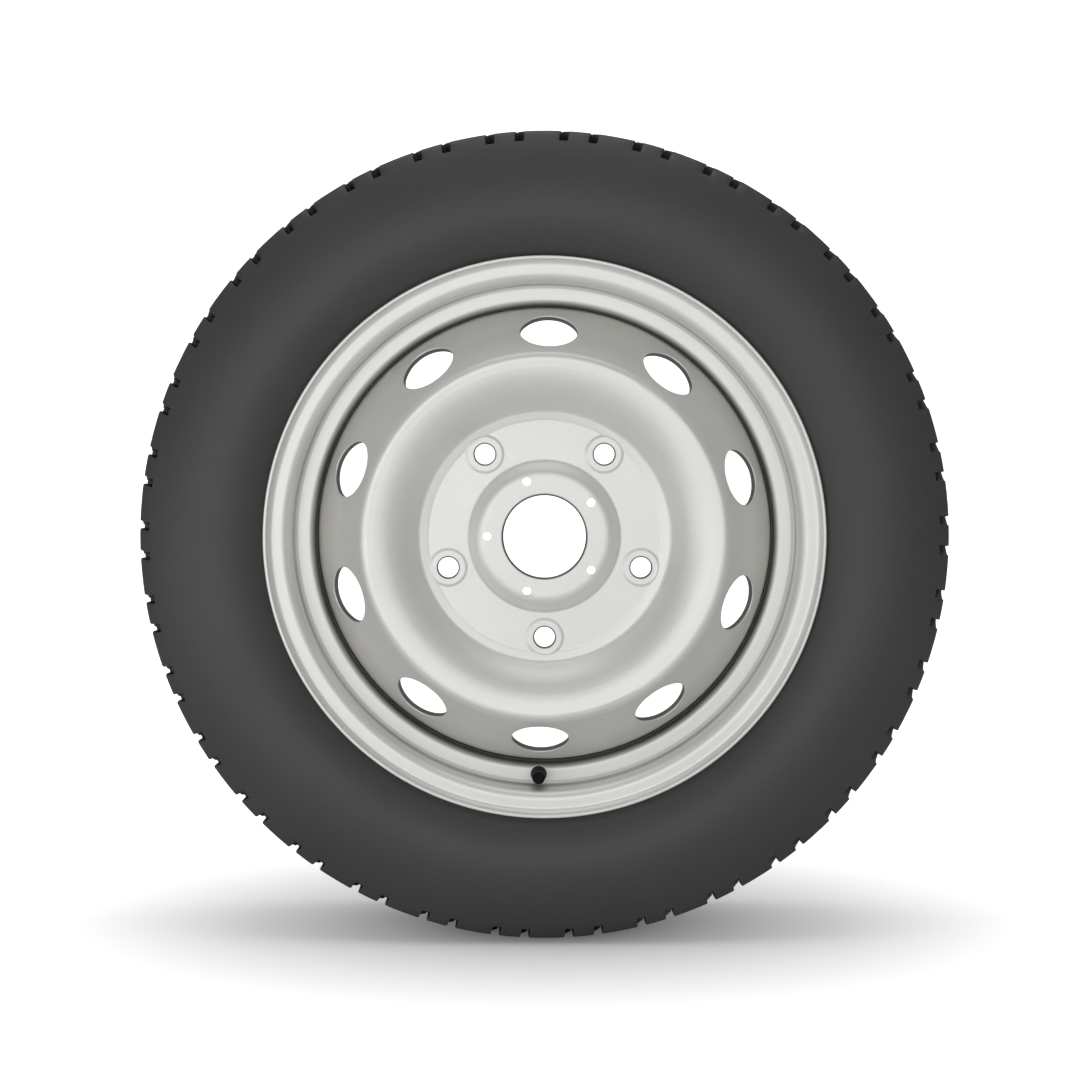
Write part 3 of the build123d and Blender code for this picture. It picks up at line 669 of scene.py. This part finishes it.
def sway(y):
    """How far a column has moved round the tyre where it crosses a place."""
    if y > 0:
        return pitch / 2 - sway(-y)
    y = max(y, -sway_edge)
    if y < -outer_groove[0]:
        a, b, c = -sway_edge, -sway_middle, -outer_groove[0]
        lean = slot_lean * (y - b) * (y - c) / ((a - b) * (a - c))
        return lean + slot_sweep * (y - a) * (y - b) / ((c - a) * (c - b))
    if y < -rib_slit[1]:
        return slot_sweep + notch_sweep * (y + outer_groove[0]) / (outer_groove[0] - rib_slit[1])
    return pitch / 4 + (slot_sweep + notch_sweep - pitch / 4) * -y / rib_slit[1]


print("a column moves", round(sway(0.0) - sway(-sway_edge), 1), "mm round the tyre from its edge to its middle")

# %% [markdown]
# Now the grid is filled in. A few bars in the grooves show when the tread is worn down to its limit: the floor
# stands 1.6 mm higher there. The plain side and the lining take fewer columns than the tread, and one ring of
# faces joins the two. The normals are turned outward and flats are parted from bends by angle.

# %% Tyre mesh
first_slot = radians(-1.9)
bar_pitches, bar_columns, bar_height = (0, 6, 11, 17, 23, 28), range(21, 23), 1.6
groove_reach, crown_reach = 50, 60  # the grooves and the plain crown end within these
floor_slack = 1.0

half_ring = [(r, y, False) for r, y in plain_side] + [(r, y, True) for r, y in tread]
ring = half_ring + [(r, -y, fine) for r, y, fine in half_ring[::-1]]
ring += [(r, -y, False) for r, y in lining[::-1]] + [(r, y, False) for r, y in lining]
lining_start = len(ring) - 2 * len(lining)

verts, row_verts, cut_depths = [], [], []
for number, (radius, y, fine) in enumerate(ring):
    if number >= lining_start:
        shift = pitch / 4 + (pitch / 4 - slot_lean) * y / sway_edge
    else:
        shift = sway(y if fine else copysign(sway_edge, y))
    groove_floor = fine and radius < crown_height(y) - tread_depth + floor_slack and abs(y) < groove_reach
    row = []
    for k in range(pitch_count):
        for c in range(len(columns)) if fine else sparse:
            place, cut = columns[c]
            r = cut_radius(radius, y, cut) if fine else radius
            if groove_floor and k in bar_pitches and c in bar_columns:
                r += bar_height
            angle = first_slot + (k * pitch + place + shift) / tyre_radius
            row.append(len(verts))
            cut_depths.append(max(radius, crown_height(y) if fine and abs(y) < crown_reach else 0) - r)
            verts.append((r * cos(angle) * mm, y * mm, r * sin(angle) * mm))
    row_verts.append(row)

faces = []
for number, low in enumerate(row_verts):
    high = row_verts[(number + 1) % len(row_verts)]
    if len(low) == len(high):
        n = len(low)
        faces += [(low[k], low[(k + 1) % n], high[(k + 1) % n], high[k]) for k in range(n)]
        continue
    few, many = (low, high) if len(low) < len(high) else (high, low)
    stops = [k * len(columns) + c for k in range(pitch_count) for c in sparse]
    for k, start in enumerate(stops):
        stop = stops[(k + 1) % len(stops)]
        span = range(start, stop + 1) if stop > start else [*range(start, len(many)), *range(stop + 1)]
        faces.append((few[k], few[(k + 1) % len(few)], *[many[s] for s in span][::-1]))

mesh = bpy.data.meshes.new("road_tyre")
mesh.from_pydata(verts, [], faces)
# the depth of each cut, which the rubber uses for painted shade in the grooves
mesh.attributes.new("cut_depth", "FLOAT", "POINT").data.foreach_set("value", cut_depths)
tyre = bpy.data.objects.new("road_tyre", mesh)
scene.collection.objects.link(tyre)
bpy.ops.object.select_all(action="DESELECT")
tyre.select_set(True)
bpy.context.view_layer.objects.active = tyre
bpy.ops.object.mode_set(mode="EDIT")
bpy.ops.mesh.select_all(action="SELECT")
bpy.ops.mesh.normals_make_consistent(inside=False)
bpy.ops.object.mode_set(mode="OBJECT")
bpy.ops.object.shade_smooth_by_angle(angle=radians(32))
tyre.data.materials.append(rubber)
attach(tyre, "wheel")
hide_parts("tyre")
print("tyre of", len(tyre.data.polygons), "faces,", [round(v, 4) for v in tyre.dimensions], "m")

# %% [markdown]
# ## Threaded stem
# The valve's brass stem carries a fine thread for the cap, 32 turns to the inch. It is turned from bar, so its
# section is swept round the valve's axis, and the thread is a small V that climbs by one pitch in each turn. It
# runs out smoothly at both ends. The inside keeps the seat for the core.

# %% Threaded stem
thread_pitch = 25.4 / 32
thread_depth, thread_width, thread_slope = 0.42, 1.15, 2.5
thread_from, thread_to, thread_fade = 12.6, 22.2, 0.7
pad_face = -57.6
turn_steps = 40
stem_radius, stem_shoulder = 3.85, 22.0
climb_from, climb_step, climb_count = thread_from - 0.1, 0.08, 120
stem_low = [(1.95, -10.6), (2.9, -10.6), (2.9, -9.0), (3.9, -9.0), (3.9, -7.4), (2.9, -7.4), (2.9, 9.0)]
stem_high = [(3.45, 22.4), (2.65, 22.4), (2.65, 16.0), (1.95, 14.8)]
climb = [min(climb_from + k * climb_step, stem_shoulder) for k in range(climb_count)]
stem_rows = stem_low + [(stem_radius, h) for h in [9.0, *climb]] + stem_high


def thread_cut(height, turn):
    """How deep the thread is at a height and a share of a turn: a V once in each pitch, faded at its ends."""
    phase = (height / thread_pitch - turn) % 1.0
    fade = min(1.0, max(0.0, (height - thread_from) / thread_fade), max(0.0, (thread_to - height) / thread_fade))
    return thread_depth * fade * min(1.0, max(0.0, thread_width - abs(phase - 0.5) * thread_slope))


def swept_piece(name, rows, closed_rows=True):
    """A mesh from rows of points, each row a closed loop of the same length."""
    loop = len(rows[0])
    points = [p for row in rows for p in row]
    quads = []
    for i in range(len(rows) if closed_rows else len(rows) - 1):
        low, high = i * loop, ((i + 1) % len(rows)) * loop
        quads += [(low + k, low + (k + 1) % loop, high + (k + 1) % loop, high + k) for k in range(loop)]
    if not closed_rows:
        quads += [tuple(range(loop)), tuple(range((len(rows) - 1) * loop, len(rows) * loop))]
    data = bpy.data.meshes.new(name)
    data.from_pydata(points, [], quads)
    piece = bpy.data.objects.new(name, data)
    scene.collection.objects.link(piece)
    return piece


def finish_mesh(piece, angle):
    """Turn a new piece's normals outward, merge doubles, and part flats from bends by an angle in degrees."""
    bpy.ops.object.select_all(action="DESELECT")
    piece.select_set(True)
    bpy.context.view_layer.objects.active = piece
    bpy.ops.object.mode_set(mode="EDIT")
    bpy.ops.mesh.select_all(action="SELECT")
    bpy.ops.mesh.remove_doubles(threshold=1e-7)
    bpy.ops.mesh.normals_make_consistent(inside=False)
    bpy.ops.object.mode_set(mode="OBJECT")
    bpy.ops.object.shade_smooth_by_angle(angle=radians(angle))


stem_grid = []
for r, h in stem_rows:
    cuts = [thread_cut(h, k / turn_steps) if r == stem_radius else 0.0 for k in range(turn_steps)]
    stem_grid.append([
        (valve_axis.x + (r - cut) * mm * cos(tau * k / turn_steps), (pad_face - h) * mm,
         valve_axis.z + (r - cut) * mm * sin(tau * k / turn_steps))
        for k, cut in enumerate(cuts)
    ])
stem = swept_piece("threaded_stem", stem_grid)
finish_mesh(stem, 35)
stem.data.materials.append(brass)
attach(stem, "wheel")
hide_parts("valve_stem")
print("stem of", len(stem.data.polygons), "faces,", [round(v * 1000, 1) for v in stem.dimensions], "mm")

# %% [markdown]
# ## Core spring
# A coil of thin wire in the core's barrel pushes the pin's collar outward and so keeps the valve shut. The coil has to
# shorten when the pin is pressed. So it is wound again as a mesh of its own.

# %% Core spring
coil_radius, wire_radius, coil_turns = 0.9, 0.13, 6
coil_low, coil_high = 7.73, 13.17  # outward from the valve's pad
coil_steps, wire_steps = 216, 10

wire_turn = [tau * j / wire_steps for j in range(wire_steps)]
wire_ring = [(coil_radius + wire_radius * cos(a), wire_radius * sin(a)) for a in wire_turn]
coil_rows = []
for k in range(coil_steps + 1):
    share = k / coil_steps
    around = tau * coil_turns * share
    height = coil_low + (coil_high - coil_low) * share
    coil_rows.append([
        (valve_axis.x + r * mm * cos(around), (pad_face - height - h) * mm, valve_axis.z + r * mm * sin(around))
        for r, h in wire_ring
    ])
spring = swept_piece("coil_spring", coil_rows, closed_rows=False)
finish_mesh(spring, 50)
spring.data.materials.append(wire)
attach(spring, "wheel")
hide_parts("valve_core_spring")
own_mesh(spring)

# %% [markdown]
# ## Rolled rim
# The rim is one strip of sheet, rolled to a hoop: two curled flanges that hold the tyre, a seat with a small hump at
# each side, and a deep well between them. The CAD mesh joins few circles with long thin triangles, which show as
# teeth in the gloss of the flange. So the same bent line is drawn again with more points, given the sheet's thickness
# toward the axle, and swept round in small steps.

# %% Rim section
rim_sheet, lip_round, bend_step = 2.8, 1.0, 9.0
rim_steps, edge_steps = 288, 4
smooth_angle = 30
rim_corners = [  # radius, place along the axle, bend: the tyre's side, from the front lip to the back lip
    (220.1, -94.55, 0), (220.1, -82.55, 7.5), (202.8, -82.55, 5), (201.1815, -64.05, 4), (202.0815, -61.05, 4),
    (201.3, -54.5, 5), (183.4, -54.5, 4), (183.4, -6.0, 18), (199.0, 22.0, 18), (200.2815, 58.05, 4),
    (202.0815, 61.05, 4), (201.1815, 64.05, 4), (202.8, 82.55, 5), (220.1, 82.55, 7.5), (220.1, 94.55, 0),
]


def to_axle(direction):
    """The direction square to a line of the section, on the axle's side of it."""
    return Vector((-direction.y, direction.x))


def bent_line(corners):
    """Points along a line with rounded corners, without its ends, and at each the direction to the axle's side."""
    spots = [Vector(corner[:2]) for corner in corners]
    samples = []
    for before, here, after, corner in zip(spots, spots[1:], spots[2:], corners[1:]):
        start, end = (here - before).normalized(), (after - here).normalized()
        turn = atan2(start.x * end.y - start.y * end.x, start.dot(end))
        reach = copysign(corner[2], turn)
        centre = here - start * corner[2] * tan(abs(turn) / 2) + to_axle(start) * reach
        parts = max(2, ceil(abs(turn) / radians(bend_step)))
        for k in range(parts + 1):
            a = turn * k / parts
            along = Vector((start.x * cos(a) - start.y * sin(a), start.x * sin(a) + start.y * cos(a)))
            samples.append((centre - to_axle(along) * reach, to_axle(along)))
    return samples


def rounded_edge(point, out, across):
    """The sheet's rounded edge at an end of the line, from the tyre's side to the axle's side."""
    turns = [k / edge_steps * pi / 2 for k in range(edge_steps + 1)]
    near, far = (point - out * lip_round + across * depth for depth in (lip_round, rim_sheet - lip_round))
    first = [near + (out * sin(a) - across * cos(a)) * lip_round for a in turns]
    return first + [far + (out * cos(a) + across * sin(a)) * lip_round for a in turns]


line = bent_line(rim_corners)
inward = Vector((-1, 0))
front_edge = rounded_edge(Vector(rim_corners[0][:2]), Vector((0, -1)), inward)
back_edge = rounded_edge(Vector(rim_corners[-1][:2]), Vector((0, 1)), inward)
rim_section = [p for p, n in line] + back_edge + [p + n * rim_sheet for p, n in reversed(line)] + front_edge[::-1]
rim_rows = [
    [(r * mm * cos(tau * k / rim_steps), y * mm, r * mm * sin(tau * k / rim_steps)) for k in range(rim_steps)]
    for r, y in rim_section
]
rolled_rim = swept_piece("rolled_rim", rim_rows)
finish_mesh(rolled_rim, smooth_angle)
print("rim section of", len(rim_section), "points")

# %% [markdown]
# The sheet is pressed flat round the valve's hole, and the hole is punched through it. Both are cylinders on the
# valve's axis: one is joined to the rim and the other cut from it. Last, the normals are weighted by the faces' areas,
# so that flats stay flat to the light and only the bends are shaded round.

# %% Valve hole
pad_radius, hole_radius = 7.6, 5.65
pad_depth, hole_depth = 2.79, 8.4
cylinder_sides = 72


def cylinder_cut(piece, radius, front, back, operation):
    """Join a cylinder on the valve's axis to a piece, or cut it out."""
    bpy.ops.object.select_all(action="DESELECT")
    bpy.ops.mesh.primitive_cylinder_add(
        vertices=cylinder_sides, radius=radius * mm, depth=(back - front) * mm, rotation=(pi / 2, 0, 0),
        location=(valve_axis.x, (front + back) / 2 * mm, valve_axis.z),
    )
    tool = bpy.context.object
    cut = piece.modifiers.new("cylinder", "BOOLEAN")
    cut.operation, cut.solver, cut.object = operation, "EXACT", tool
    bpy.context.view_layer.objects.active = piece
    bpy.ops.object.modifier_apply(modifier=cut.name)
    bpy.data.objects.remove(tool)


cylinder_cut(rolled_rim, pad_radius, pad_face, pad_face + pad_depth, "UNION")
cylinder_cut(rolled_rim, hole_radius, pad_face - hole_depth, pad_face + hole_depth, "DIFFERENCE")
finish_mesh(rolled_rim, smooth_angle)
flats = rolled_rim.modifiers.new("flats", "WEIGHTED_NORMAL")
flats.keep_sharp = True
bpy.ops.object.modifier_apply(modifier=flats.name)
rolled_rim.data.materials.append(paint)
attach(rolled_rim, "wheel")
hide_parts("rim")
print("rim of", len(rolled_rim.data.polygons), "faces,", [round(v, 4) for v in rolled_rim.dimensions], "m")

# %% [markdown]
# ## Welds
# Ten short fillet welds at the back hold the disc's skirt in the rim. A welding torch lays each as a row of
# small overlapping pools, so the bead is rippled like a stack of coins, thin where it starts and with a small
# crater where it stops. They are sprayed with the wheel. The bead fills the corner between skirt and well.

# %% Welds
weld_count, weld_arc, weld_leg = 10, 20.0, 4.6
first_weld = -20.0  # degrees from +X toward +Z
weld_radius, weld_start = 180.57, -16.97
weld_steps, pool_steps = 88, 4
ripple_depth = 0.13
end_share, end_size = 0.045, 0.35
bead_shape = [(0.0, 0.0), (0.0, 0.55), (0.0, 1.0), (0.16, 0.78), (0.38, 0.42), (0.74, 0.17), (1.0, 0.0), (0.5, 0.0)]

welds = []
for number in range(weld_count):
    loops = []
    for k in range(weld_steps + 1):
        share = k / weld_steps
        ripple = 1.0 - ripple_depth * (k % pool_steps) / (pool_steps - 1)
        taper = min(1.0, end_size + (1 - end_size) * min(share, 1 - share) / end_share)
        angle = radians(360 / weld_count * number + first_weld + weld_arc * share)
        size = weld_leg * ripple * taper
        outline = [(weld_radius - a * size, weld_start + b * size) for a, b in bead_shape]
        loops.append([(r * mm * cos(angle), y * mm, r * mm * sin(angle)) for r, y in outline])
    welds.append(swept_piece("weld", loops, closed_rows=False))
bpy.ops.object.select_all(action="DESELECT")
for piece in welds:
    piece.select_set(True)
bpy.context.view_layer.objects.active = welds[0]
bpy.ops.object.join()
weld_beads = bpy.context.object
weld_beads.name = "weld_beads"
finish_mesh(weld_beads, 50)
weld_beads.data.materials.append(paint)
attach(weld_beads, "wheel")
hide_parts("disc_welds")
print("welds of", len(weld_beads.data.polygons), "faces")
